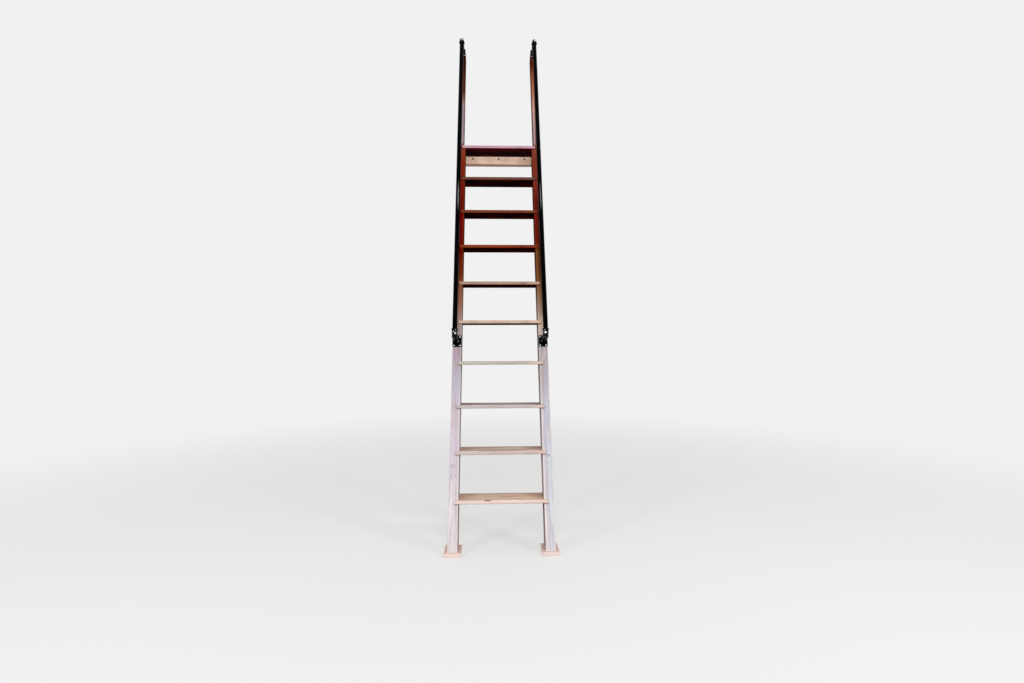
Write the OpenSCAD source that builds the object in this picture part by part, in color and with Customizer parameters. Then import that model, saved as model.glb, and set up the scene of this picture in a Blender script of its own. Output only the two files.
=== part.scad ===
// Loft ladder stair: two leaning stringers with housed treads, pipe grab rails on screwed
// flanges, a pad under each foot and a fixing batten behind the head.
// The origin is the middle of the batten's back face, which is screwed to the loft's edge.
// +X is to the climber's right, +Y is towards the loft and +Z is up.

/* [Slope and rise] */
// Lean of the stringers, measured from the floor, in degrees
lean = 70; // [66:0.5:75]
// Rise from the top of one tread to the top of the next
rise = 277; // [250:1:300]
// Number of treads
tread_count = 10; // [9:1:11]

/* [Stringers] */
// Clear width between the two stringers
inner_w = 521; // [420:1:700]
// Width of a stringer, seen from the front
stringer_w = 60; // [45:1:80]
// Depth of a stringer, square to its front face
stringer_d = 115; // [95:1:150]
// Length of each stringer above the top tread, along the slope
post_len = 1010; // [700:5:1200]
// How far the inner faces are cut back above the top tread
post_cut = 14; // [4:1:18]
// Radius on the long edges of the stringers
stringer_edge_r = 4; // [2:0.5:8]
// Bevel round the top end of each stringer
post_bevel = 6; // [3:0.5:10]

/* [Treads] */
// Thickness of a tread
tread_t = 22; // [18:1:32]
// Depth of a tread, front to back
tread_d = 180; // [150:1:200]
// How far a tread tips down towards the back, in degrees
tread_tip = 1.5; // [0:0.1:3]
// How far a tread's front edge stands proud of the stringers, at its underside
tread_proud = 8; // [4:1:15]
// Radius on the long edges of a tread
tread_edge_r = 5; // [2:0.5:8]
// Depth of the housing that takes a tread's end
housing = 22; // [12:1:30]
// Gap between a tread's end and the bottom of its housing
housing_gap = 0.2; // [0.1:0.1:0.5]

/* [Foot pads] */
// Width of a foot pad
pad_w = 100; // [90:1:140]
// Thickness of a foot pad
pad_t = 24; // [16:1:40]
// How far a foot pad runs out in front of the stringer's toe
pad_front = 18; // [8:1:40]
// How far a foot pad runs out behind the stringer's heel
pad_back = 2; // [0:1:30]
// Radius on the upright corners of a foot pad
pad_corner_r = 3; // [1:0.5:8]
// Bevel round the top of a foot pad
pad_bevel = 2.5; // [1:0.5:5]

/* [Fixing batten] */
// Height of the batten
batten_h = 60; // [45:1:90]
// Thickness of the batten, front to back
batten_t = 55; // [45:1:70]
// Drop from the underside of the top tread to the top of the batten
batten_drop = 33; // [15:1:60]
// Spacing of the batten's three screw holes
batten_hole_pitch = 205; // [150:1:210]
// Height of the screw holes above the middle of the batten
batten_hole_rise = 13; // [0:1:18]
// Diameter of a screw hole in the batten
batten_hole_d = 7; // [5:0.5:9]
// Diameter of the countersink in the batten
batten_sink_d = 15; // [12:0.5:18]

/* [Pipe rails] */
// Outside diameter of the pipe
pipe_d = 32; // [28:0.5:35]
// Wall of the pipe
pipe_wall = 2.6; // [2:0.1:3.5]
// Distance from the stringer's front face to the middle of the rail
rail_standoff = 130; // [110:1:150]
// How far the rail stands outboard of the middle of its stringer
rail_outset = 7; // [0:0.5:8]
// Distance along the slope from the toe to the middle of the lower flange
rail_start = 1321; // [1200:1:1400]
// Distance along the slope from the stringer's top end down to the middle of the upper flange
rail_stop = 42; // [40:1:120]

/* [Pipe fittings] */
// Distance from an elbow's corner to the face of its socket
elbow_reach = 40; // [36:0.5:46]
// Radius of the elbow's bend
elbow_bend_r = 21; // [19.5:0.5:24]
// Wall of the elbow's body, outside its passage
elbow_wall = 6.5; // [6:0.5:8]
// Radius of the elbow's passage
passage_r = 12; // [11:0.5:12.5]
// Width of the collar round a socket
collar_w = 10; // [8:0.5:12]
// How far a collar stands out from the pipe's surface
collar_rise = 5.5; // [4:0.5:8]
// Bevel on the edges of a collar
collar_bevel = 1.5; // [1:0.25:2.5]
// How deep a pipe's end goes into a socket
socket_depth = 12; // [9:0.5:14]
// Gap round a pipe in a socket
socket_gap = 0.15; // [0.1:0.05:0.4]

/* [Flanges] */
// Length of a flange plate along the slope
flange_l = 80; // [76:1:110]
// Thickness of a flange plate
flange_t = 7; // [5:0.5:10]
// Corner radius of a flange plate
flange_corner_r = 6; // [3:0.5:10]
// Height of the hub above the flange plate
hub_h = 17; // [14:0.5:25]
// Radius of the hub where it meets the plate
hub_foot_r = 22.5; // [21:0.5:23]
// How far the hub's neck stands in under its collar
hub_neck = 1; // [0.5:0.5:3]
// Diameter of a screw hole in a flange plate
flange_hole_d = 5.5; // [4:0.5:6]
// Distance of a screw hole from the flange plate's edges
flange_hole_inset = 10; // [8:0.5:11]

/* [Hidden] */
$fn = 64;
eps = 1;
heel_d = stringer_d / sin(lean);
outer_w = inner_w + 2 * stringer_w;
stringer_mid = (inner_w + stringer_w) / 2;
post_w = stringer_w - post_cut;
top_tread_z = tread_z(tread_count);
stringer_len = (top_tread_z - pad_t) / sin(lean) + post_len;
rail_end = stringer_len - rail_stop;
tread_l = inner_w + 2 * (housing - housing_gap);
batten_top = top_tread_z - tread_t - batten_drop;
batten_foot = batten_top - batten_h;
batten_mid = (batten_foot + batten_top) / 2;
batten_y = face_y(batten_foot) + heel_d;
batten_back = batten_y + batten_t;
pipe_r = pipe_d / 2;
socket_r = pipe_r + socket_gap;
collar_r = pipe_r + collar_rise;
elbow_r = passage_r + elbow_wall;
rail_x = stringer_mid + rail_outset;
seat = elbow_reach - socket_depth;
nipple_foot = flange_t + hub_h - socket_depth;

TREADS = [for (i = [1:tread_count]) str("tread_", i < 10 ? "0" : "", i)];

// Height of the top of tread i above the floor
function tread_z(i) = pad_t + i * rise;

// How far back the stringers' front face is at height z
function face_y(z) = (z - pad_t) / tan(lean);

// From the floor under the toes to the part's own frame
module place() {
    translate([0, -batten_back, -batten_mid]) children();
}

// Local axes of the slope: X across, Y into the stringer from its front face, Z up the slope
module on_slope() {
    place() translate([0, 0, pad_t]) rotate([lean - 90, 0, 0]) children();
}

// The left side is the right side mirrored
module sided(side) {
    mirror([side == "left" ? 1 : 0, 0, 0]) children();
}

module rounded_rect(w, d, r) {
    translate([r, 0]) square([w - 2 * r, d]);
    translate([0, r]) square([w, d - 2 * r]);
    for (x = [r, w - r], y = [r, d - r]) translate([x, y]) circle(r);
}

// A sawn bar with rounded long edges and a bevelled top end
module bar(w, d, l, r, bevel) {
    difference() {
        linear_extrude(l) rounded_rect(w, d, r);
        for (x = [0, w]) translate([x, d / 2, l]) rotate([0, 45, 0])
            cube([bevel * sqrt(2), d + 2 * eps, bevel * sqrt(2)], center = true);
        for (y = [0, d]) translate([w / 2, y, l]) rotate([45, 0, 0])
            cube([w + 2 * eps, bevel * sqrt(2), bevel * sqrt(2)], center = true);
    }
}

// From the front top edge of tread i, tipped as the tread is: Y to its back, Z up from its top
module on_tread(i) {
    translate([0, face_y(tread_z(i) - tread_t) - tread_proud, tread_z(i)])
        rotate([-tread_tip, 0, 0]) children();
}

// Housings for the treads' ends, cut right through the stringer from front to back
module housings() {
    for (i = [1:tread_count]) on_tread(i)
        translate([inner_w / 2 - eps, -tread_d, -tread_t]) cube([housing + eps, 3 * tread_d, tread_t]);
}

// Notch that hooks the stringer's back over the batten
module batten_notch() {
    translate([inner_w / 2 - eps, batten_y, batten_foot - eps])
        cube([stringer_w + 2 * eps, heel_d, batten_h + eps]);
}

// All that is higher than the plane of the top tread's upper face
module over_top_tread() {
    place() on_tread(tread_count) translate([0, -stringer_len, 0])
        cube([outer_w, 2 * stringer_len, stringer_len]);
}

// The right stringer's full length of timber, w wide from its outer face
module right_bar(w) {
    on_slope() translate([outer_w / 2 - w, 0, -pad_t])
        bar(w, stringer_d, stringer_len + pad_t, stringer_edge_r, post_bevel);
}

module right_stringer() {
    color("tan") difference() {
        union() {
            difference() {
                right_bar(stringer_w);
                over_top_tread();
            }
            intersection() {
                right_bar(post_w);
                over_top_tread();
            }
        }
        place() {
            translate([inner_w / 2 - eps, -heel_d, pad_t - 3 * stringer_d])
                cube([stringer_w + 2 * eps, 4 * heel_d, 3 * stringer_d]);
            housings();
            batten_notch();
        }
    }
}

module tread(i) {
    color("burlywood") place() on_tread(i) translate([-tread_l / 2, 0, -tread_t])
        rotate([90, 0, 90]) linear_extrude(tread_l) rounded_rect(tread_d, tread_t, tread_edge_r);
}

module right_foot_pad() {
    pad_d = pad_front + heel_d + pad_back;
    color("wheat") place() translate([stringer_mid - pad_w / 2, -pad_front, 0]) difference() {
        linear_extrude(pad_t) rounded_rect(pad_w, pad_d, pad_corner_r);
        for (x = [0, pad_w]) translate([x, pad_d / 2, pad_t]) rotate([0, 45, 0])
            cube([pad_bevel * sqrt(2), pad_d + 2 * eps, pad_bevel * sqrt(2)], center = true);
        translate([pad_w / 2, 0, pad_t]) rotate([45, 0, 0])
            cube([pad_w + 2 * eps, pad_bevel * sqrt(2), pad_bevel * sqrt(2)], center = true);
    }
}

module fixing_batten() {
    color("moccasin") place() difference() {
        translate([-outer_w / 2, batten_y, batten_foot]) cube([outer_w, batten_t, batten_h]);
        for (x = [-1:1])
            translate([x * batten_hole_pitch, batten_y, batten_mid + batten_hole_rise])
                rotate([-90, 0, 0]) screw_hole(batten_hole_d, batten_sink_d, batten_t);
    }
}

// A countersunk hole that runs along +Z from the face at Z = 0
module screw_hole(d, sink_d, depth) {
    translate([0, 0, -eps]) cylinder(d = d, h = depth + 2 * eps);
    translate([0, 0, -eps]) cylinder(d1 = sink_d + 2 * eps, d2 = 0, h = sink_d / 2 + eps);
}

// A tube of the rail's pipe that runs along +Z
module tube(l) {
    difference() {
        cylinder(r = pipe_r, h = l);
        translate([0, 0, -eps]) cylinder(r = pipe_r - pipe_wall, h = l + 2 * eps);
    }
}

module right_rail() {
    color("dimgray") on_slope() translate([rail_x, -rail_standoff, rail_start + seat])
        tube(rail_end - rail_start - 2 * seat);
}

// The ring that stiffens the mouth of a socket, along +Z
module collar() {
    rotate_extrude() polygon([
        [0, 0], [collar_r - collar_bevel, 0], [collar_r, collar_bevel],
        [collar_r, collar_w - collar_bevel], [collar_r - collar_bevel, collar_w], [0, collar_w]]);
}

// One leg of an elbow, along +Z from the end of the bend
module elbow_leg() {
    translate([0, 0, elbow_bend_r]) cylinder(r = elbow_r, h = elbow_reach - elbow_bend_r);
    translate([0, 0, elbow_reach - collar_w]) collar();
}

module elbow_leg_bore() {
    translate([0, 0, elbow_bend_r]) cylinder(r = passage_r, h = elbow_reach);
    translate([0, 0, seat]) cylinder(r = socket_r, h = socket_depth + eps);
}

// A quarter bend from the leg along +Y to the leg along +Z
module quarter_bend(r) {
    translate([0, elbow_bend_r, elbow_bend_r]) rotate([90, 0, 90]) rotate([0, 0, 180])
        rotate_extrude(angle = 90) translate([elbow_bend_r, 0]) circle(r);
}

// An elbow with its corner at the origin and its legs along +Y and +Z
module elbow() {
    difference() {
        union() {
            quarter_bend(elbow_r);
            elbow_leg();
            rotate([-90, 0, 0]) elbow_leg();
        }
        quarter_bend(passage_r);
        elbow_leg_bore();
        rotate([-90, 0, 0]) elbow_leg_bore();
    }
}

module right_lower_elbow() {
    color("dimgray") on_slope() translate([rail_x, -rail_standoff, rail_start]) elbow();
}

module right_upper_elbow() {
    color("dimgray") on_slope() translate([rail_x, -rail_standoff, rail_end])
        mirror([0, 0, 1]) elbow();
}

// The short pipe between a flange and its elbow, at distance s up the slope
module nipple(s) {
    color("dimgray") on_slope() translate([rail_x, -nipple_foot, s]) rotate([90, 0, 0])
        tube(rail_standoff - seat - nipple_foot);
}

// A screwed flange on the front face at distance s up the slope, as wide as the timber under it
module flange(s, w) {
    color("dimgray") on_slope() translate([rail_x, 0, s]) rotate([90, 0, 0]) difference() {
        union() {
            translate([outer_w / 2 - rail_x - w, -flange_l / 2])
                linear_extrude(flange_t) rounded_rect(w, flange_l, flange_corner_r);
            translate([0, 0, flange_t - eps])
                cylinder(r1 = hub_foot_r, r2 = collar_r - hub_neck, h = hub_h - collar_w + eps);
            translate([0, 0, flange_t + hub_h - collar_w]) collar();
        }
        translate([0, 0, -eps]) cylinder(r = passage_r, h = flange_t + hub_h);
        translate([0, 0, nipple_foot]) cylinder(r = socket_r, h = socket_depth + eps);
        for (x = [flange_hole_inset, w - flange_hole_inset], y = [-1, 1])
            translate([outer_w / 2 - rail_x - x, y * (flange_l / 2 - flange_hole_inset), flange_t])
                mirror([0, 0, 1]) screw_hole(flange_hole_d, 2 * flange_hole_d, flange_t);
    }
}

for (i = [1:tread_count]) tread(i);
fixing_batten();
for (side = ["left", "right"]) sided(side) {
    right_stringer();
    right_foot_pad();
    right_rail();
    right_lower_elbow();
    right_upper_elbow();
    nipple(rail_start);
    nipple(rail_end);
    flange(rail_start, stringer_w);
    flange(rail_end, post_w);
}
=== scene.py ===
import math

import bpy
from mathutils import Matrix, Quaternion, Vector


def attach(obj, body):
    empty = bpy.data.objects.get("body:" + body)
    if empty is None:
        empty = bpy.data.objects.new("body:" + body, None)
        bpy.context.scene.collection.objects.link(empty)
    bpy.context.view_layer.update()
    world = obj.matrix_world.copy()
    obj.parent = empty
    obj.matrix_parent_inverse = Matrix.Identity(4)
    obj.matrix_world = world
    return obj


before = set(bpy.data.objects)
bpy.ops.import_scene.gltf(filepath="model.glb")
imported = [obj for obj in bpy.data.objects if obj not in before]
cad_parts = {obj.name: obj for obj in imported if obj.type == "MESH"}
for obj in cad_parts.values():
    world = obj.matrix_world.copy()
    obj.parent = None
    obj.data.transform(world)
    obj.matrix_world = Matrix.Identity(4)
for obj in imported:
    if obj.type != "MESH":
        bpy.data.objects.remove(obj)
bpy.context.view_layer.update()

# Sizes of the ladder, the same as the part's source has
LEAN = math.radians(70)
RISE = 0.277
TREAD_COUNT = 10
TREAD_T = 0.022
TREAD_D = 0.180
TREAD_TIP = math.radians(1.5)
TREAD_PROUD = 0.008
INNER_W = 0.521
STRINGER_W = 0.060
STRINGER_D = 0.115
PAD_T = 0.024
FLOOR = -2.709
TOE_Y = -1.14372
POST_LEN = 1.010
POST_CUT = 0.014
RAIL_START = 1.321
RAIL_STOP = 0.042
RAIL_OUTSET = 0.007
RAIL_STANDOFF = 0.130
ELBOW_REACH = 0.040
ELBOW_BEND = 0.021
ELBOW_R = 0.0185
COLLAR_W = 0.010
PIPE_R = 0.016
FLANGE_T = 0.007
FLANGE_L = 0.080
HUB_H = 0.017
FLANGE_SCREW_INSET = 0.010
BATTEN_FACE_Y = -0.055
BATTEN_SCREW_PITCH = 0.205
BATTEN_SCREW_RISE = 0.013

# Sizes of the small hardware, which only the looks have
FLANGE_SCREW_R = 0.0052
BATTEN_SCREW_R = 0.0070
BATTEN_SCREW_SUNK = 0.0006
THREAD_TURNS = 5
THREAD_ROOT_R = PIPE_R - 0.0004
THREAD_CREST_R = PIPE_R + 0.00045
THREAD_TAPER = 0.00008
THREAD_SUNK = 0.0004
SEAM_W = 0.0014
SEAM_T = 0.0012
SEAM_GROUND = 0.0007

# Sizes and places worked out from those above. LOFT is the loft's floor over the room's floor
STRINGER_MID = (INNER_W + STRINGER_W) / 2
RAIL_X = STRINGER_MID + RAIL_OUTSET
LOFT = PAD_T + TREAD_COUNT * RISE
TOE = Vector((0, TOE_Y, FLOOR + PAD_T))
SLOPE = Matrix.Translation(TOE) @ Matrix.Rotation(LEAN - math.pi / 2, 4, "X")
STRINGER_LEN = TREAD_COUNT * RISE / math.sin(LEAN) + POST_LEN
RAIL_END = STRINGER_LEN - RAIL_STOP
SIDES = (("left", -1), ("right", 1))

# The photograph's camera: its lens and its sensor in mm, its place and its angles
LENS = 18.49
SENSOR = 36.0
CAMERA_PLACE = (-0.0402, -4.2428, -1.4641)
CAMERA_YAW = math.radians(1.9387)
CAMERA_PITCH = math.radians(0.2981)
CAMERA_ROLL = math.radians(-0.1977)

# How bright the room is round the ladder: the light that it gives, and how it looks
SKY_LIGHT = 0.50
SKY_SEEN = 0.88

# The softboxes: their names, places, widths and heights, and how strongly they light the ladder
SOFTBOXES = (
    ("front_softbox", (0.4, -7.0, 0.6), (3.0, 2.4), 0.42),
    ("left_window_softbox", (-3.0, -3.4, -0.4), (0.45, 0.8), 0.22),
    ("right_window_softbox", (3.2, -3.2, -0.2), (0.45, 0.8), 0.26),
)
LADDER_MIDDLE = Vector((0, -0.6, -1.0))

# The studio floor: its size and middle, how much of it glows like the room where it is seen, and
# how far from its middle it starts to thin out and is gone
FLOOR_SIZE = 14
FLOOR_MIDDLE_Y = -0.5
FLOOR_GLOW = 0.55
FLOOR_THINS = 0.8
FLOOR_GONE = 6.5


def slope_place(across, into, up):
    """The matrix that sets a piece made along +Z square to the stringers' front faces."""
    out = Matrix.Rotation(math.pi / 2, 4, "X")
    return SLOPE @ Matrix.Translation((across, into, up)) @ out


def paint(red, green, blue):
    """A colour as it looks on a screen, 0 to 255, as the numbers that a shader takes."""
    def straight(v):
        v /= 255
        return v / 12.92 if v <= 0.04045 else ((v + 0.055) / 1.055) ** 2.4
    return (straight(red), straight(green), straight(blue), 1)


class Wire:
    """A value in a tree of nodes, which sums and products can be written with."""

    def __init__(self, owner, socket):
        self.owner, self.socket = owner, socket

    def sum(self, kind, *values):
        return self.owner.add("ShaderNodeMath", {"operation": kind}, dict(enumerate(values)))

    def __add__(self, other):
        return self.sum("ADD", self, other)

    def __radd__(self, other):
        return self.sum("ADD", other, self)

    def __sub__(self, other):
        return self.sum("SUBTRACT", self, other)

    def __rsub__(self, other):
        return self.sum("SUBTRACT", other, self)

    def __mul__(self, other):
        return self.sum("MULTIPLY", self, other)

    def __rmul__(self, other):
        return self.sum("MULTIPLY", other, self)

    def __truediv__(self, other):
        return self.sum("DIVIDE", self, other)

    def __pow__(self, other):
        return self.sum("POWER", self, other)

    def size(self):
        return self.sum("ABSOLUTE", self)

    def least(self, other):
        return self.sum("MINIMUM", self, other)

    def most(self, other):
        return self.sum("MAXIMUM", self, other)

    def nearest(self):
        """The whole number nearest to the value."""
        return self.sum("ROUND", self)

    def part(self):
        """What is left of the value over the whole number below it."""
        return self.sum("FRACT", self)

    def rise(self, low, high):
        """0 below low, 1 above high, with a soft step between them."""
        return self.owner.add(
            "ShaderNodeMapRange", {"interpolation_type": "SMOOTHSTEP", "clamp": True},
            {"Value": self, "From Min": low, "From Max": high})

    def fall(self, low, high):
        """1 below low, 0 above high."""
        return 1 - self.rise(low, high)


class Nodes:
    """The nodes of a material or of the world. Every one of them comes from add()."""

    def __init__(self, holder):
        holder.use_nodes = True
        self.tree = holder.node_tree
        self.tree.nodes.clear()

    def add(self, kind, settings=None, inputs=None, output=0):
        """A new node, as the Wire from one of its outputs. Where a tree ends it has no output."""
        node = self.tree.nodes.new(kind)
        for name, value in (settings or {}).items():
            if name == "stops":
                ramp = node.color_ramp
                while len(ramp.elements) < len(value):
                    ramp.elements.new(1)
                for stop, (place, colour) in zip(ramp.elements, value):
                    stop.position, stop.color = place, colour
            else:
                setattr(node, name, value)
        for name, value in (inputs or {}).items():
            if isinstance(value, Wire):
                self.tree.links.new(value.socket, node.inputs[name])
            else:
                node.inputs[name].default_value = value
        return None if output is None else Wire(self, node.outputs[output])

    def end(self, kind, shader):
        """Ends the tree in an output node that shows this shader."""
        self.add(kind, {}, {"Surface": shader}, output=None)

    def seen(self):
        """1 where a thing is looked at, also in a shine or through glass, and 0 in its light."""
        path = self.add("ShaderNodeLightPath").socket.node
        seen = Wire(self, path.outputs["Is Camera Ray"])
        for other in ("Is Glossy Ray", "Is Transmission Ray"):
            seen = seen.most(Wire(self, path.outputs[other]))
        return seen


class Finish(Nodes):
    """One material. Its colour builds up, each tint over the ones before it."""

    def __init__(self, name, colour=None):
        self.material = bpy.data.materials.new(name)
        self.colour = colour
        super().__init__(self.material)

    def place(self):
        """Where a spot is in the part's own frame, in metres."""
        return self.add("ShaderNodeTexCoord", output="Object")

    def facing(self):
        """The way that the surface faces, as three values."""
        return self.apart(self.add("ShaderNodeNewGeometry", output="Normal"))

    def apart(self, vector):
        """A vector's three values."""
        split = self.add("ShaderNodeSeparateXYZ", inputs={0: vector}).socket.node
        return [Wire(self, split.outputs[axis]) for axis in "XYZ"]

    def together(self, x, y, z):
        return self.add("ShaderNodeCombineXYZ", inputs={"X": x, "Y": y, "Z": z})

    def scaled(self, vector, by):
        return self.add("ShaderNodeVectorMath", {"operation": "MULTIPLY"}, {0: vector, 1: by})

    def moved(self, vector, by):
        return self.add("ShaderNodeVectorMath", {"operation": "ADD"}, {0: vector, 1: by})

    def noise(self, vector, detail=2.0, rough=0.5):
        return self.add("ShaderNodeTexNoise", {"noise_dimensions": "3D"},
                        {"Vector": vector, "Scale": 1.0, "Detail": detail, "Roughness": rough})

    def spots(self, place, number, detail, rough=0.5):
        """Noise that is alike each way, with about this number of spots to a metre."""
        return self.noise(self.scaled(place, (number, number, number)), detail, rough)

    def streak(self, vector, wide, long, seed, detail=2.0):
        """Noise in marks about as wide as wide, and as long as long along the third axis."""
        spot = self.scaled(vector, (1 / wide, 1 / wide, 1 / long))
        return self.noise(self.moved(spot, (seed, 2 * seed, 3 * seed)), detail)

    def mix(self, first, second, share):
        return self.add("ShaderNodeMix", {"data_type": "RGBA"},
                        {0: share, 6: first, 7: second}, output=2)

    def tint(self, shade, share):
        """Lays a shade over the colour so far."""
        self.colour = self.mix(self.colour, shade, share)

    def ramp(self, value, stops):
        return self.add("ShaderNodeValToRGB", {"stops": stops}, {"Fac": value})

    def bump(self, height, depth, strength):
        return self.add("ShaderNodeBump", {}, {"Height": height, "Distance": depth,
                                               "Strength": strength})

    def done(self, **sockets):
        """The finished material. A socket's name has _ for each space."""
        inputs = {name.replace("_", " "): value for name, value in sockets.items()}
        shader = self.add("ShaderNodeBsdfPrincipled", {}, {"Base Color": self.colour, **inputs})
        self.end("ShaderNodeOutputMaterial", shader)
        return self.material


def growth_rings(f, side, deep, long, pith, pitch):
    """Dark late wood, 0 to 1, in rings a pitch apart round a pith that wanders on its way."""
    wander = f.noise(f.together(side * 6, deep * 6, long * 1.3), 1.5)
    flutter = f.noise(f.together(side * 45, deep * 45, long * 5), 1.0)
    shift = (wander - 0.5) * 0.045 + (flutter - 0.5) * 0.004
    from_pith = ((side - pith[0] + shift) ** 2 + (deep - pith[1] + shift * 0.6) ** 2) ** 0.5
    ring = (from_pith / pitch).part()
    return ring.rise(0.35, 0.88) * ring.fall(0.9, 1.0)


def fibres(f, grain):
    """Fine fibres and open pores along the grain, each 0 to 1."""
    fine = f.streak(grain, 0.0011, 0.05, 3.1, 3.0)
    pores = f.streak(grain, 0.0007, 0.011, 8.7, 1.0).rise(0.66, 0.74)
    return fine, pores


def round_marks(f, place, marks):
    """Each mark's own share in its middle, and 0 outside all of them."""
    found = None
    for centre, radius, share in marks:
        away = f.add("ShaderNodeVectorMath", {"operation": "DISTANCE"},
                     {0: place, 1: centre}, output=1)
        mark = away.fall(radius * 0.55, radius) * share
        found = found.most(mark) if found else mark
    return found


# Colours of the timber as it fades down the ladder, by height over the floor in metres: the
# stringers, the treads' fronts and the treads' tops. The pale low part is partly painted glare of
# window light, and the tops are darker than the fronts partly as painted shade
FACE_COLOURS = (
    (0.00, paint(236, 230, 232)),
    (0.28, paint(232, 227, 232)),
    (0.50, paint(222, 216, 224)),
    (0.82, paint(203, 192, 201)),
    (1.10, paint(178, 168, 176)),
    (1.30, paint(174, 152, 148)),
    (1.42, paint(166, 126, 102)),
    (1.52, paint(144, 92, 60)),
    (1.62, paint(130, 74, 42)),
    (1.74, paint(110, 48, 18)),
    (1.88, paint(100, 13, 3)),
    (2.15, paint(112, 10, 5)),
    (2.30, paint(98, 14, 5)),
    (2.45, paint(124, 26, 10)),
    (2.66, paint(136, 44, 22)),
    (2.80, paint(148, 76, 56)),
    (2.95, paint(158, 122, 114)),
    (3.13, paint(206, 140, 118)),
    (3.30, paint(200, 116, 76)),
    (3.44, paint(186, 92, 44)),
    (3.56, paint(112, 44, 14)),
    (3.70, paint(84, 26, 12)),
)
TREAD_COLOURS = (
    (0.00, paint(252, 236, 230)),
    (0.35, paint(252, 236, 230)),
    (0.58, paint(216, 206, 202)),
    (0.86, paint(202, 199, 200)),
    (1.13, paint(195, 193, 181)),
    (1.41, paint(210, 184, 162)),
    (1.69, paint(172, 143, 122)),
    (1.96, paint(138, 48, 2)),
    (2.24, paint(120, 62, 36)),
    (2.52, paint(114, 76, 64)),
    (2.80, paint(214, 170, 184)),
)
TOP_COLOURS = (
    (0.00, paint(248, 218, 192)),
    (0.35, paint(246, 216, 190)),
    (0.60, paint(236, 212, 200)),
    (0.88, paint(172, 166, 170)),
    (1.50, paint(150, 122, 106)),
    (2.00, paint(96, 40, 20)),
    (2.90, paint(120, 66, 50)),
)
# The height at which the colours end, above the tops of the posts
LADDER_TOP = 3.75

# Knots in the stringers: their middles, their sizes, how dark they are
KNOTS = (
    ((0.299, -0.9516, -2.162), 0.0100, 1.0),
    ((-0.300, -0.590, -1.17), 0.0065, 1.0),
    ((0.281, -0.30, -0.37), 0.0065, 1.0),
    ((-0.270, -1.05, -2.43), 0.0065, 1.0),
)
# Painted highlights on the castings, made as spots of bright bare metal: their middles, their
# sizes, how bare they are
GLINT_SPOTS = (
    ((-0.2924, -0.8257, -1.3907), 0.0080, 1.0),
    ((-0.3050, -0.8244, -1.3794), 0.0060, 0.35),
    ((-0.2900, -0.8207, -1.3681), 0.0050, 0.30),
    ((-0.2811, -0.7170, -1.4423), 0.0060, 0.80),
    ((0.2937, -0.8262, -1.3880), 0.0080, 1.0),
    ((0.2900, -0.8214, -1.3699), 0.0060, 0.30),
    ((0.2900, -0.8135, -1.4139), 0.0050, 0.35),
    ((0.2823, -0.7162, -1.4401), 0.0060, 0.55),
    ((-0.2925, 0.0515, 1.0270), 0.0100, 1.0),
    ((0.3020, 0.0505, 1.0262), 0.0100, 1.0),
)
# How far along the grain one tread's timber is from the next one's
TREADS_APART = 3.7
# How far out the painted shadow below a tread reaches on the stringers, which is to the tread's end
TAB_SHADE_X = 0.282
# Where the nick in the first tread is, and the middle of the painted highlight on the rails
NICK_X = -0.082
RAIL_HIGHLIGHT_Z = -0.395


def by_height(f, height, colours):
    """The colour at a height over the floor, as a table has it."""
    stops = [(h / LADDER_TOP, colour) for h, colour in colours]
    return f.ramp(height / LADDER_TOP, stops)


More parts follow.
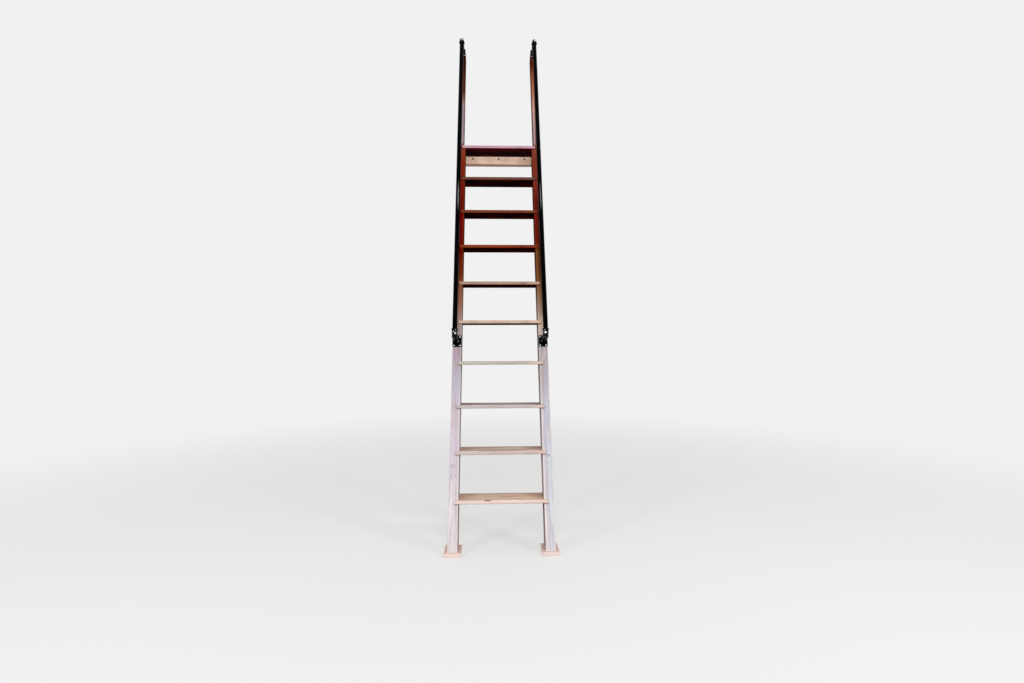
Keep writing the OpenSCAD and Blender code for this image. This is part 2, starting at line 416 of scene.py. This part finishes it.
def stringer_timber():
    """Across runs outboard from a stringer's inner face, into from its front, up along it."""
    f = Finish("worn_stringer_timber")
    tint = f.tint
    place = f.place()
    turn = Matrix.Rotation(math.pi / 2 - LEAN, 3, "X")
    slope = f.add("ShaderNodeMapping", {"vector_type": "POINT"}, {
        "Vector": place, "Rotation": (math.pi / 2 - LEAN, 0, 0), "Location": turn @ -TOE})
    x, into, up = f.apart(slope)
    height = f.apart(place)[2] - FLOOR
    level = up * math.sin(LEAN) / RISE
    right = x.rise(-0.05, 0.05)
    left = 1 - right
    inner = INNER_W / 2 + POST_CUT * height.rise(LOFT - 0.001, LOFT + 0.001)
    across = x.size() - inner
    late = growth_rings(f, x.size(), into, up, pith=(STRINGER_MID + 0.08, 0.19), pitch=0.0042)
    fine, pores = fibres(f, slope)
    broad = f.streak(slope, 0.020, 0.42, 1.7)
    narrow = f.streak(slope, 0.006, 0.16, 5.3)
    cool = f.streak(slope, 0.026, 0.24, 12.1)
    warm = f.streak(slope, 0.030, 0.18, 17.9)
    blotch = f.noise(f.scaled(place, (9, 9, 6)), 3.0)
    # Where the timber is pale: partly faded, partly painted glare of window light
    faded_and_glare = height.fall(1.25, 1.75)
    red = 1 - faded_and_glare
    f.colour = by_height(f, height + (blotch - 0.5) * 0.08 + (broad - 0.5) * 0.05, FACE_COLOURS)

    # Weathered part, pale and cool partly as painted glare of window light: mauve on the left,
    # blue-grey with a dull middle on the right, paler inside
    tint(paint(196, 166, 196), left * blotch.rise(0.46, 0.60) * height.rise(0.35, 0.55)
         * height.fall(1.15, 1.40) * across.rise(0.012, 0.020) * 0.40)
    blue = (across + (broad - 0.5) * 0.04).rise(0.008, 0.036) * height.fall(0.84, 1.06)
    tint(paint(190, 212, 228), right * faded_and_glare * blue * 0.40)
    tint(paint(156, 154, 162), right * faded_and_glare * (across - 0.022).size().fall(0.004, 0.014) * 0.24)
    front = into.fall(0.004, 0.012)
    pale = (across + (narrow - 0.5) * 0.012).fall(0.006, 0.015)
    pale = pale * (1 - left * height.rise(0.84, 1.08))
    tint(paint(248, 243, 240), faded_and_glare * pale * 0.40)
    tint(paint(150, 143, 128), right * height.rise(0.84, 1.02) * faded_and_glare * 0.38)
    tint(paint(172, 188, 216), right * across.rise(0.030, 0.042) * height.rise(0.84, 1.0)
         * height.fall(1.08, 1.16) * 0.36)
    tint(paint(166, 182, 216), left * height.rise(0.86, 0.94) * height.fall(1.02, 1.10) * 0.28)
    tint(paint(122, 108, 116), left * height.rise(1.10, 1.20) * height.fall(1.40, 1.48) * 0.32)
    # A painted highlight: the peach patch on the right's front above the lower flange
    tint(paint(238, 216, 188), right * front * height.rise(1.26, 1.32)
         * height.fall(1.40, 1.50) * 0.56)
    stained = f.noise(f.scaled(place, (70, 30, 40)), 2.0)
    tint(paint(166, 146, 178), left * height.rise(0.36, 0.42) * height.fall(0.56, 0.62)
         * stained.rise(0.54, 0.66) * across.rise(0.010, 0.018) * 0.55)
    tint(paint(196, 202, 218), cool.rise(0.50, 0.72) * faded_and_glare * 0.30)
    tint(paint(236, 218, 202), warm.rise(0.52, 0.74) * faded_and_glare * 0.30)
    # Varnished part: browner low down, painted shadow of the rails outside, duller on the right's
    # front
    tint(paint(156, 98, 58), left * front * height.rise(1.42, 1.50)
         * height.fall(1.66, 1.74) * 0.36)
    # Painted shadow of the rails on the outer part, low on the varnish
    tint(paint(24, 4, 0), across.rise(0.018, 0.030) * height.rise(1.44, 1.58)
         * height.fall(1.66, 1.78) * (0.46 + right * 0.14))
    tint(paint(138, 108, 62), right * front * height.rise(1.30, 1.50)
         * height.fall(1.90, 2.02) * 0.46)
    # Painted shadow of the rails on the outer part, higher up and stronger on the right
    tint(paint(18, 1, 0), across.rise(0.008, 0.032) * height.rise(1.62, 1.78)
         * height.fall(2.24, 2.36) * (0.36 + right * 0.34))
    tint(paint(150, 84, 70), right * front * height.rise(1.94, 2.06) * height.fall(2.72, 2.80)
         * (0.09 + height.rise(2.30, 2.48) * 0.20))
    # Posts: greyed low down by a painted glare of window light; further up, redder outside with a
    # painted shadow of the rail on the right, and paler inside with painted light
    post_glare = front * height.rise(2.79, 2.83) * height.fall(3.16, 3.32)
    tint(paint(156, 148, 154), left * post_glare * 0.84)
    tint(paint(224, 206, 206), left * post_glare * across.fall(0.006, 0.014) * 0.50)
    tint(paint(236, 210, 210), right * post_glare * (across - 0.006).size().fall(0.003, 0.009) * 0.74)
    # Painted shadow of the rail on the right post's outer part
    tint(paint(92, 14, 0), right * across.rise(0.012, 0.026) * height.rise(3.12, 3.28) * 0.62)
    # Painted light on the right post's inner part
    tint(paint(246, 184, 160), right * front * height.rise(3.02, 3.16) * height.fall(3.30, 3.56)
         * across.fall(0.012, 0.020) * 0.36)
    # Grain, pores and knots
    dark_grain = f.mix(paint(66, 8, 2), paint(150, 142, 156), faded_and_glare)
    tint(dark_grain, late * 0.30)
    tint(dark_grain, broad.rise(0.48, 0.74) * 0.34)
    tint(paint(250, 246, 248), narrow.rise(0.55, 0.80) * faded_and_glare * 0.34)
    tint(paint(176, 70, 26), narrow.rise(0.56, 0.82) * red * 0.24)
    tint(f.mix(paint(40, 5, 1), paint(96, 76, 76), faded_and_glare),
         fine.rise(0.50, 0.72) * 0.20 + pores * 0.22)
    knots = round_marks(f, place, KNOTS)
    tint(f.mix(paint(40, 8, 4), paint(112, 112, 128), faded_and_glare), knots * 0.62)
    # Painted shade on the inner faces, rubbed edges, a painted shadow over the left post's top
    toward = f.facing()[0] * (1 - 2 * right)
    cheek = toward.rise(0.6, 0.9)
    tint(f.mix(paint(46, 5, 1), paint(88, 66, 58), faded_and_glare), cheek * (0.55 - faded_and_glare * 0.10))
    edge = across.least(INNER_W / 2 + STRINGER_W - x.size()) + into.least(STRINGER_D - into)
    wear = (edge + (narrow - 0.5) * 0.004).fall(0.0018, 0.0052)
    tint(f.mix(paint(178, 84, 48), paint(248, 238, 232), faded_and_glare), wear * (0.26 + faded_and_glare * 0.24))
    # Painted shadow over the left post's top
    tint(paint(32, 1, 1), left * height.rise(3.18, 3.34) * 0.80)
    # Painted shadow below the treads' ends, stronger on the right, and scuffs at the feet
    under = (level - level.nearest() + TREAD_T / RISE).size()
    dark_band = under.fall(0.0, 0.030) * x.size().fall(TAB_SHADE_X, TAB_SHADE_X + 0.008)
    dark_band = dark_band * height.fall(LOFT, LOFT + 0.02)
    scuffs = height.fall(0.03, 0.12) * blotch.rise(0.46, 0.62)
    tint(paint(52, 28, 22), dark_band * (0.36 + right * 0.24) + scuffs * 0.16)
    rough = 0.46 + faded_and_glare * 0.16 + (fine - 0.5) * 0.2 - wear * 0.06
    relief = fine * 0.5 - late * 0.35 - pores * 0.6 - knots * 0.5
    varnish = 0.035 - faded_and_glare * 0.02 - cheek * 0.015
    return f.done(Roughness=rough, Specular_IOR_Level=0.0, Coat_Weight=varnish,
                  Coat_Roughness=0.22, Normal=f.bump(relief, 0.0006, 0.6))


def tread_timber():
    """Back runs from a tread's front edge, down from its top, long along its own timber."""
    f = Finish("worn_tread_timber")
    tint = f.tint
    x, y, z = f.apart(f.place())
    height = z - FLOOR
    number = ((height - PAD_T) / RISE).nearest()
    fall = number * RISE + PAD_T - height
    inward = y - (number * RISE - TREAD_T) / math.tan(LEAN) - (TOE_Y - TREAD_PROUD)
    down = fall * math.cos(TREAD_TIP) - inward * math.sin(TREAD_TIP)
    back = inward * math.cos(TREAD_TIP) + fall * math.sin(TREAD_TIP)
    long = x + number * TREADS_APART
    grain = f.together(back, down, long)
    late = growth_rings(f, back, down, long, pith=(0.05, 0.10), pitch=0.0046)
    fine, pores = fibres(f, grain)
    broad = f.streak(grain, 0.016, 0.30, 2.9)
    narrow = f.streak(grain, 0.005, 0.12, 6.1)
    # Where the treads are pale: partly faded, partly painted glare of window light
    faded_and_glare = height.fall(1.40, 2.00)
    lift = f.facing()[2]
    top = lift.rise(0.55, 0.9)
    under = (0 - lift).rise(0.55, 0.9)
    shade = height + (broad - 0.5) * 0.06
    # The tops darker than the fronts, partly as wear and partly as painted shade
    f.colour = f.mix(by_height(f, shade, TREAD_COLOURS), by_height(f, shade, TOP_COLOURS), top)
    # Stains, grain and pores
    dark_grain = f.mix(paint(60, 10, 6), paint(132, 104, 96), faded_and_glare)
    stain = f.streak(grain, 0.060, 0.22, 9.3)
    tint(f.mix(paint(52, 12, 6), paint(150, 116, 110), faded_and_glare),
         stain.rise(0.50, 0.68) * (0.16 + top * 0.30))
    tint(dark_grain, late * 0.30)
    tint(dark_grain, broad.rise(0.50, 0.76) * 0.26)
    tint(f.mix(paint(44, 8, 4), paint(90, 60, 54), faded_and_glare),
         fine.rise(0.50, 0.72) * 0.18 + pores * 0.2)
    # Rubbed edges, the nick in the first tread, and the path that feet keep to
    edge = back + down.least(TREAD_T - down)
    wear = (edge + (narrow - 0.5) * 0.004).fall(0.0016, 0.0048) * x.size().fall(0.20, 0.30)
    tint(paint(238, 202, 178), x.rise(0.17, 0.25) * faded_and_glare * (1 - top) * 0.34)
    nick = (x - NICK_X).size().fall(0.012, 0.026) * height.fall(0.4, 0.5)
    nick = nick * down.fall(0.003, 0.006) * back.fall(0.014, 0.022)
    tint(paint(96, 60, 62), nick * 0.85)
    wear_and_highlight = f.mix(paint(170, 84, 48), paint(246, 232, 222), faded_and_glare)
    tint(wear_and_highlight, wear * (0.20 + faded_and_glare * 0.26))
    tread_path = top * x.size().fall(0.05, 0.20) * broad.rise(0.3, 0.6)
    tint(paint(214, 190, 170), tread_path * faded_and_glare * 0.25)
    # Darker and redder towards the ends and the back of the tops
    ends_and_back = x.size().rise(0.10, 0.27) * 0.26 + back.rise(0.06, 0.17) * 0.16
    tint(paint(148, 88, 70), top * faded_and_glare * ends_and_back)
    # Darker along the back edge of the tops
    dark_band = top * (back + (narrow - 0.5) * 0.01).rise(TREAD_D - 0.014, TREAD_D - 0.004)
    tint(paint(52, 30, 26), dark_band * 0.6)
    # Painted shade on the undersides, and painted light at the front of the top one's underside
    tint(f.mix(paint(20, 1, 1), paint(74, 14, 8), stain.rise(0.44, 0.66)), under * 0.96)
    tint(paint(104, 4, 34), under * height.rise(2.60, 2.70) * back.fall(0.02, 0.10) * 0.6)
    rough = 0.44 + faded_and_glare * 0.14 + (fine - 0.5) * 0.2 - tread_path * 0.08
    relief = fine * 0.5 - late * 0.35 - pores * 0.6
    varnish = (0.03 - faded_and_glare * 0.015) * (1 - under)
    return f.done(Roughness=rough + under * 0.4, Specular_IOR_Level=0.0, Coat_Weight=varnish,
                  Coat_Roughness=0.22, Normal=f.bump(relief, 0.0006, 0.6))


def pale_timber(name, light, dark, top):
    """Bare timber with its grain along X, and its own colour where it faces up."""
    f = Finish(name, light)
    x, y, z = f.apart(f.place())
    grain = f.together(y, z, x)
    late = growth_rings(f, y, z, x, pith=(0.03, 0.07), pitch=0.0052)
    fine, pores = fibres(f, grain)
    broad = f.streak(grain, 0.018, 0.35, 4.4)
    f.tint(dark, late * 0.5)
    f.tint(dark, broad.rise(0.42, 0.75) * 0.5)
    f.tint(dark, fine.rise(0.5, 0.75) * 0.25)
    f.tint(top, f.facing()[2].rise(0.55, 0.9) * 0.8)
    relief = fine * 0.5 - late * 0.3
    return f.done(Roughness=0.55 + (fine - 0.5) * 0.2, Specular_IOR_Level=0.3,
                  Normal=f.bump(relief, 0.0005, 0.6))


def black_pipe():
    """Black enamel, with a painted highlight streak down the front of each rail."""
    f = Finish("black_pipe", paint(2, 2, 3))
    place = f.place()
    x, _, z = f.apart(place)
    scuff = f.noise(f.scaled(place, (60, 60, 9)), 4.0, 0.6)
    grit = f.spots(place, 700, 2.0)
    f.tint(paint(13, 13, 15), scuff.rise(0.52, 0.72) * 0.6)
    front = (0 - f.facing()[1]).rise(0.75, 0.92)
    # A painted highlight: a pale streak down the front of each rail
    wear_and_highlight = front * (z - RAIL_HIGHLIGHT_Z).size().fall(0.03, 0.13) * (scuff + 0.15).rise(0.40, 0.60)
    for middle, share in ((-RAIL_X + 0.003, 0.9), (RAIL_X, 0.6)):
        line = (x - middle).size().fall(0.0012, 0.0042)
        f.tint(paint(150, 143, 146), wear_and_highlight * line * share)
    return f.done(Roughness=0.24 + (scuff - 0.5) * 0.25, Specular_IOR_Level=0.015,
                  Normal=f.bump(grit, 0.0002, 0.25))


def black_casting():
    """Half-gloss black on a cast skin, with painted highlights as spots of bright bare metal."""
    f = Finish("black_casting", paint(2, 3, 4))
    place = f.place()
    cast = f.spots(place, 420, 3.0, 0.6)
    blotch = f.spots(place, 45, 2.0)
    f.tint(paint(15, 19, 21), blotch.rise(0.55, 0.75) * 0.5)
    # Painted highlights: bright bare-metal spots where the highlights fall
    glint = round_marks(f, place, GLINT_SPOTS)
    f.tint(paint(232, 238, 240), glint)
    return f.done(Metallic=glint, Roughness=0.20 + (blotch - 0.5) * 0.15,
                  Specular_IOR_Level=0.09, Normal=f.bump(cast, 0.0003, 0.25))


def bright_zinc():
    f = Finish("bright_zinc", paint(196, 200, 204))
    bloom = f.spots(f.place(), 500, 2.0)
    f.tint(paint(150, 152, 154), bloom.rise(0.45, 0.7))
    return f.done(Metallic=1.0, Roughness=0.26 + (bloom - 0.5) * 0.2,
                  Normal=f.bump(bloom, 0.0001, 0.3))


def dark_steel():
    f = Finish("dark_steel", paint(44, 36, 32))
    rust = f.spots(f.place(), 380, 3.0)
    f.tint(paint(84, 48, 30), rust.rise(0.45, 0.65))
    return f.done(Metallic=0.7, Roughness=0.5 + (rust - 0.5) * 0.3,
                  Normal=f.bump(rust, 0.0001, 0.4))


def pale_floor():
    """Pale where it is seen. What it throws back on the ladder is a timber floor's warm light."""
    f = Finish("pale_floor")
    seen = f.seen()
    colour = f.mix(paint(150, 96, 74), paint(240, 238, 236), seen)
    cover = f.add("ShaderNodeBsdfDiffuse", {}, {"Color": colour})
    glow = f.add("ShaderNodeEmission", {}, {"Color": (1, 1, 1, 1), "Strength": SKY_SEEN})
    cover = f.add("ShaderNodeMixShader", {}, {0: seen * FLOOR_GLOW, 1: cover, 2: glow})
    gone = f.add("ShaderNodeBsdfTransparent")
    x, y, _ = f.apart(f.place())
    away = (x ** 2 + (y - FLOOR_MIDDLE_Y) ** 2) ** 0.5
    thin = away.rise(FLOOR_THINS, FLOOR_GONE)
    f.end("ShaderNodeOutputMaterial",
          f.add("ShaderNodeMixShader", {}, {0: thin, 1: cover, 2: gone}))
    return f.material


def lay_floor():
    bpy.ops.object.select_all(action="DESELECT")
    bpy.ops.mesh.primitive_plane_add(size=FLOOR_SIZE, location=(0, FLOOR_MIDDLE_Y, FLOOR))
    floor = bpy.context.object
    floor.name = "studio_floor"
    bpy.ops.object.transform_apply(location=True, rotation=True, scale=True)
    floor.data.materials.append(pale_floor())


def softbox(name, place, size, level):
    """A softbox that alone would light a surface that faces it to this share of full level."""
    lamp = bpy.data.lights.new(name, "AREA")
    lamp.shape, lamp.size, lamp.size_y = "RECTANGLE", *size
    away = LADDER_MIDDLE - Vector(place)
    lamp.energy = level * math.pi ** 2 * away.length_squared
    box = bpy.data.objects.new(name, lamp)
    bpy.context.scene.collection.objects.link(box)
    box.location = place
    box.rotation_euler = away.to_track_quat("-Z", "Y").to_euler()
    box.visible_camera = False


def light_room():
    world = bpy.data.worlds.new("studio")
    bpy.context.scene.world = world
    sky = Nodes(world)
    strength = sky.add("ShaderNodeMapRange", {},
                       {"Value": sky.seen(), "To Min": SKY_LIGHT, "To Max": SKY_SEEN})
    glow = sky.add("ShaderNodeBackground", {}, {"Color": (1, 1, 1, 1), "Strength": strength})
    sky.end("ShaderNodeOutputWorld", glow)
    for name, place, size, level in SOFTBOXES:
        softbox(name, place, size, level)


def set_camera():
    """At the photograph's place and angle, level to a third of a degree."""
    lens = bpy.data.cameras.new("camera")
    lens.sensor_width, lens.lens = SENSOR, LENS
    camera = bpy.data.objects.new("camera", lens)
    bpy.context.scene.collection.objects.link(camera)
    level = math.cos(CAMERA_PITCH)
    look = Vector((math.sin(CAMERA_YAW) * level, math.cos(CAMERA_YAW) * level,
                   math.sin(CAMERA_PITCH)))
    held = look.to_track_quat("-Z", "Y") @ Quaternion((0, 0, 1), CAMERA_ROLL)
    camera.location = CAMERA_PLACE
    camera.rotation_euler = held.to_euler()
    bpy.context.scene.camera = camera


def dress(nodes, material):
    """Gives the part's own pieces their finish."""
    for node in nodes:
        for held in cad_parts[node].material_slots:
            held.material = material


def put_down():
    """Leaves edit mode with nothing selected."""
    if bpy.context.object and bpy.context.object.mode != "OBJECT":
        bpy.ops.object.mode_set(mode="OBJECT")
    bpy.ops.object.select_all(action="DESELECT")


def choose_end(way):
    """In edit mode, selects only the faces that look along Z: up for 1, down for -1."""
    bpy.ops.object.mode_set(mode="EDIT")
    bpy.ops.mesh.select_mode(type="FACE")
    bpy.ops.mesh.select_all(action="DESELECT")
    bpy.ops.object.mode_set(mode="OBJECT")
    for face in bpy.context.object.data.polygons:
        face.select = face.normal.z * way > 0.5
    bpy.ops.object.mode_set(mode="EDIT")


def smooth(piece, angle=35):
    """Shades a piece smooth, but for the edges that are sharper than the angle in degrees."""
    put_down()
    piece.select_set(True)
    bpy.context.view_layer.objects.active = piece
    bpy.ops.object.shade_smooth_by_angle(angle=math.radians(angle))


def cross_cutter(radius):
    """Two crossed bars that cut a screw's driver slot."""
    bars = []
    for turn in (0, math.pi / 2):
        bpy.ops.mesh.primitive_cube_add(size=1, scale=(radius * 0.95, radius * 0.20, radius),
                                        location=(0, 0, radius * 0.42), rotation=(0, 0, turn))
        bpy.ops.object.transform_apply(location=True, rotation=True, scale=True)
        choose_end(-1)
        bpy.ops.transform.resize(value=(0.55, 0.55, 1))
        bars.append(bpy.context.object)
        bpy.ops.object.mode_set(mode="OBJECT")
    return bars


def screw_head(name, radius):
    """A raised countersunk head on +Z, its edge level with the surface, with a cross slot."""
    put_down()
    bpy.ops.mesh.primitive_cylinder_add(vertices=28, radius=radius, depth=radius * 0.8,
                                        location=(0, 0, -radius * 0.4))
    head = bpy.context.object
    head.name = name
    bpy.ops.object.transform_apply(location=True, rotation=True, scale=True)
    # A cone below the surface, and three steps up to a low dome above it
    choose_end(-1)
    bpy.ops.transform.resize(value=(0.35, 0.35, 1))
    choose_end(1)
    for step, lift in ((0.12, 0.10), (0.22, 0.09), (0.30, 0.05)):
        bpy.ops.mesh.inset(thickness=radius * step)
        bpy.ops.transform.translate(value=(0, 0, radius * lift))
    bpy.ops.object.mode_set(mode="OBJECT")
    for cutter in cross_cutter(radius):
        put_down()
        head.select_set(True)
        bpy.context.view_layer.objects.active = head
        cut = head.modifiers.new("slot", "BOOLEAN")
        cut.operation, cut.solver, cut.object = "DIFFERENCE", "EXACT", cutter
        bpy.ops.object.modifier_apply(modifier="slot")
        bpy.data.objects.remove(cutter)
    smooth(head)
    return head


def thread_sleeve(name):
    """The bare threads where a pipe leaves a socket, round +Z from the socket's face."""
    put_down()
    bpy.ops.mesh.primitive_circle_add(vertices=40, radius=THREAD_ROOT_R,
                                      location=(0, 0, -THREAD_SUNK))
    sleeve = bpy.context.object
    sleeve.name = name
    bpy.ops.object.transform_apply(location=True, rotation=True, scale=True)
    bpy.ops.object.mode_set(mode="EDIT")
    bpy.ops.mesh.select_all(action="SELECT")
    radius = THREAD_ROOT_R
    for turn in range(THREAD_TURNS):
        crest = THREAD_CREST_R - THREAD_TAPER * turn
        # Up one flank, along the crest, down the other flank and along the root
        for to, lift in ((crest, 0.0006), (crest, 0.0003), (THREAD_ROOT_R, 0.0006),
                         (THREAD_ROOT_R, 0.0002)):
            bpy.ops.mesh.extrude_region_move(TRANSFORM_OT_translate={"value": (0, 0, lift)})
            bpy.ops.transform.resize(value=(to / radius, to / radius, 1))
            radius = to
    bpy.ops.object.mode_set(mode="OBJECT")
    smooth(sleeve, 50)
    return sleeve


def casting_seam(name):
    """The moulding line along the outside of an elbow, from one collar round to the other.
    The elbow's middle lines meet at the origin: the rail's along +Z, the nipple's along +Y."""
    put_down()
    straight = ELBOW_REACH - COLLAR_W - ELBOW_BEND
    bpy.ops.mesh.primitive_cube_add(size=1, scale=(SEAM_W, SEAM_T, straight),
                                    location=(0, -ELBOW_R, ELBOW_BEND + straight / 2))
    seam = bpy.context.object
    seam.name = name
    bpy.ops.object.transform_apply(location=True, rotation=True, scale=True)
    choose_end(-1)
    bpy.ops.mesh.spin(steps=14, angle=-math.pi / 2, center=(0, ELBOW_BEND, ELBOW_BEND),
                      axis=(1, 0, 0))
    bpy.ops.mesh.extrude_region_move(TRANSFORM_OT_translate={"value": (0, straight, 0)})
    bpy.ops.mesh.select_all(action="SELECT")
    bpy.ops.mesh.remove_doubles(threshold=0.00001)
    bpy.ops.mesh.normals_make_consistent(inside=False)
    bpy.ops.object.mode_set(mode="OBJECT")
    smooth(seam)
    return seam


def set_in_place(master, name, place, material):
    """A copy of a finished piece with its own mesh, put where it belongs."""
    piece = master.copy()
    piece.data = master.data.copy()
    piece.name = name
    bpy.context.scene.collection.objects.link(piece)
    piece.data.transform(place)
    piece.data.materials.clear()
    piece.data.materials.append(material)
    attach(piece, "root")


def flange_screws(material):
    """Four in each flange, each slot turned its own way."""
    master = screw_head("flange_screw", FLANGE_SCREW_R)
    along = FLANGE_L / 2 - FLANGE_SCREW_INSET
    far = INNER_W / 2 + STRINGER_W - FLANGE_SCREW_INSET
    for side, sign in SIDES:
        for level, up, cut in (("lower", RAIL_START, 0), ("upper", RAIL_END, POST_CUT)):
            near = INNER_W / 2 + cut + FLANGE_SCREW_INSET
            for n, (across, dz) in enumerate(((near, -along), (far, -along), (near, along),
                                              (far, along)), 1):
                place = slope_place(sign * across, -FLANGE_T, up + dz)
                turn = Matrix.Rotation(0.7 * n + sign, 4, "Z")
                set_in_place(master, f"{side}_{level}_flange_screw_{n}", place @ turn, material)
    bpy.data.objects.remove(master)


def batten_screws(material):
    master = screw_head("batten_screw", BATTEN_SCREW_R)
    for n, across in enumerate((-BATTEN_SCREW_PITCH, 0, BATTEN_SCREW_PITCH), 1):
        place = Matrix.Translation((across, BATTEN_FACE_Y + BATTEN_SCREW_SUNK,
                                    BATTEN_SCREW_RISE))
        place = place @ Matrix.Rotation(math.pi / 2, 4, "X") @ Matrix.Rotation(0.5 * n, 4, "Z")
        set_in_place(master, f"batten_screw_{n}", place, material)
    bpy.data.objects.remove(master)


def pipe_threads(material):
    """Three sleeves at each end of a rail: at the rail's socket, the elbow's other one, the hub."""
    master = thread_sleeve("pipe_threads")
    up_slope = Matrix.Rotation(-math.pi / 2, 4, "X")
    for side, sign in SIDES:
        across = sign * RAIL_X
        for level, up, way in (("lower", RAIL_START, 1), ("upper", RAIL_END, -1)):
            turn = Matrix.Rotation(0 if way > 0 else math.pi, 4, "Y")
            rail = slope_place(across, -RAIL_STANDOFF, up + way * ELBOW_REACH) @ up_slope @ turn
            elbow = slope_place(across, -RAIL_STANDOFF + ELBOW_REACH, up)
            elbow = elbow @ Matrix.Rotation(math.pi, 4, "X")
            hub = slope_place(across, -FLANGE_T - HUB_H, up)
            for name, place in (("rail", rail), ("elbow", elbow), ("hub", hub)):
                set_in_place(master, f"{side}_{level}_{name}_threads", place, material)
    bpy.data.objects.remove(master)


def elbow_seams(material):
    """A seam on each elbow. The upper ones are ground flush at the top of the bend."""
    master = casting_seam("elbow_seam")
    for side, sign in SIDES:
        for level, up, turn, ground in (("lower", RAIL_START, 0, 0),
                                        ("upper", RAIL_END, math.pi, SEAM_GROUND)):
            place = SLOPE @ Matrix.Translation((sign * RAIL_X, -RAIL_STANDOFF, up))
            place = Matrix.Translation((0, 0, -ground)) @ place @ Matrix.Rotation(turn, 4, "Y")
            set_in_place(master, f"{side}_{level}_elbow_seam", place, material)
    bpy.data.objects.remove(master)


def dress_timber():
    stringers, treads = stringer_timber(), tread_timber()
    dress(["left_stringer", "right_stringer"], stringers)
    dress([f"tread_{n:02d}" for n in range(1, TREAD_COUNT + 1)], treads)
    pads = pale_timber("pad_timber", paint(255, 246, 240), paint(240, 208, 196),
                       paint(214, 172, 156))
    dress(["left_foot_pad", "right_foot_pad"], pads)
    pine = pale_timber("pine_batten_timber", paint(232, 200, 178), paint(188, 144, 116),
                       paint(208, 172, 146))
    dress(["fixing_batten"], pine)


def dress_iron():
    pipe, casting = black_pipe(), black_casting()
    dress([f"{side}_rail" for side, _ in SIDES], pipe)
    for level in ("lower", "upper"):
        for side, _ in SIDES:
            dress([f"{side}_{level}_nipple"], pipe)
            dress([f"{side}_{level}_elbow", f"{side}_{level}_flange"], casting)
    pipe_threads(pipe)
    elbow_seams(casting)


bpy.context.scene.view_settings.view_transform = "Standard"
set_camera()
light_room()
lay_floor()
dress_timber()
dress_iron()
flange_screws(bright_zinc())
batten_screws(dark_steel())
put_down()
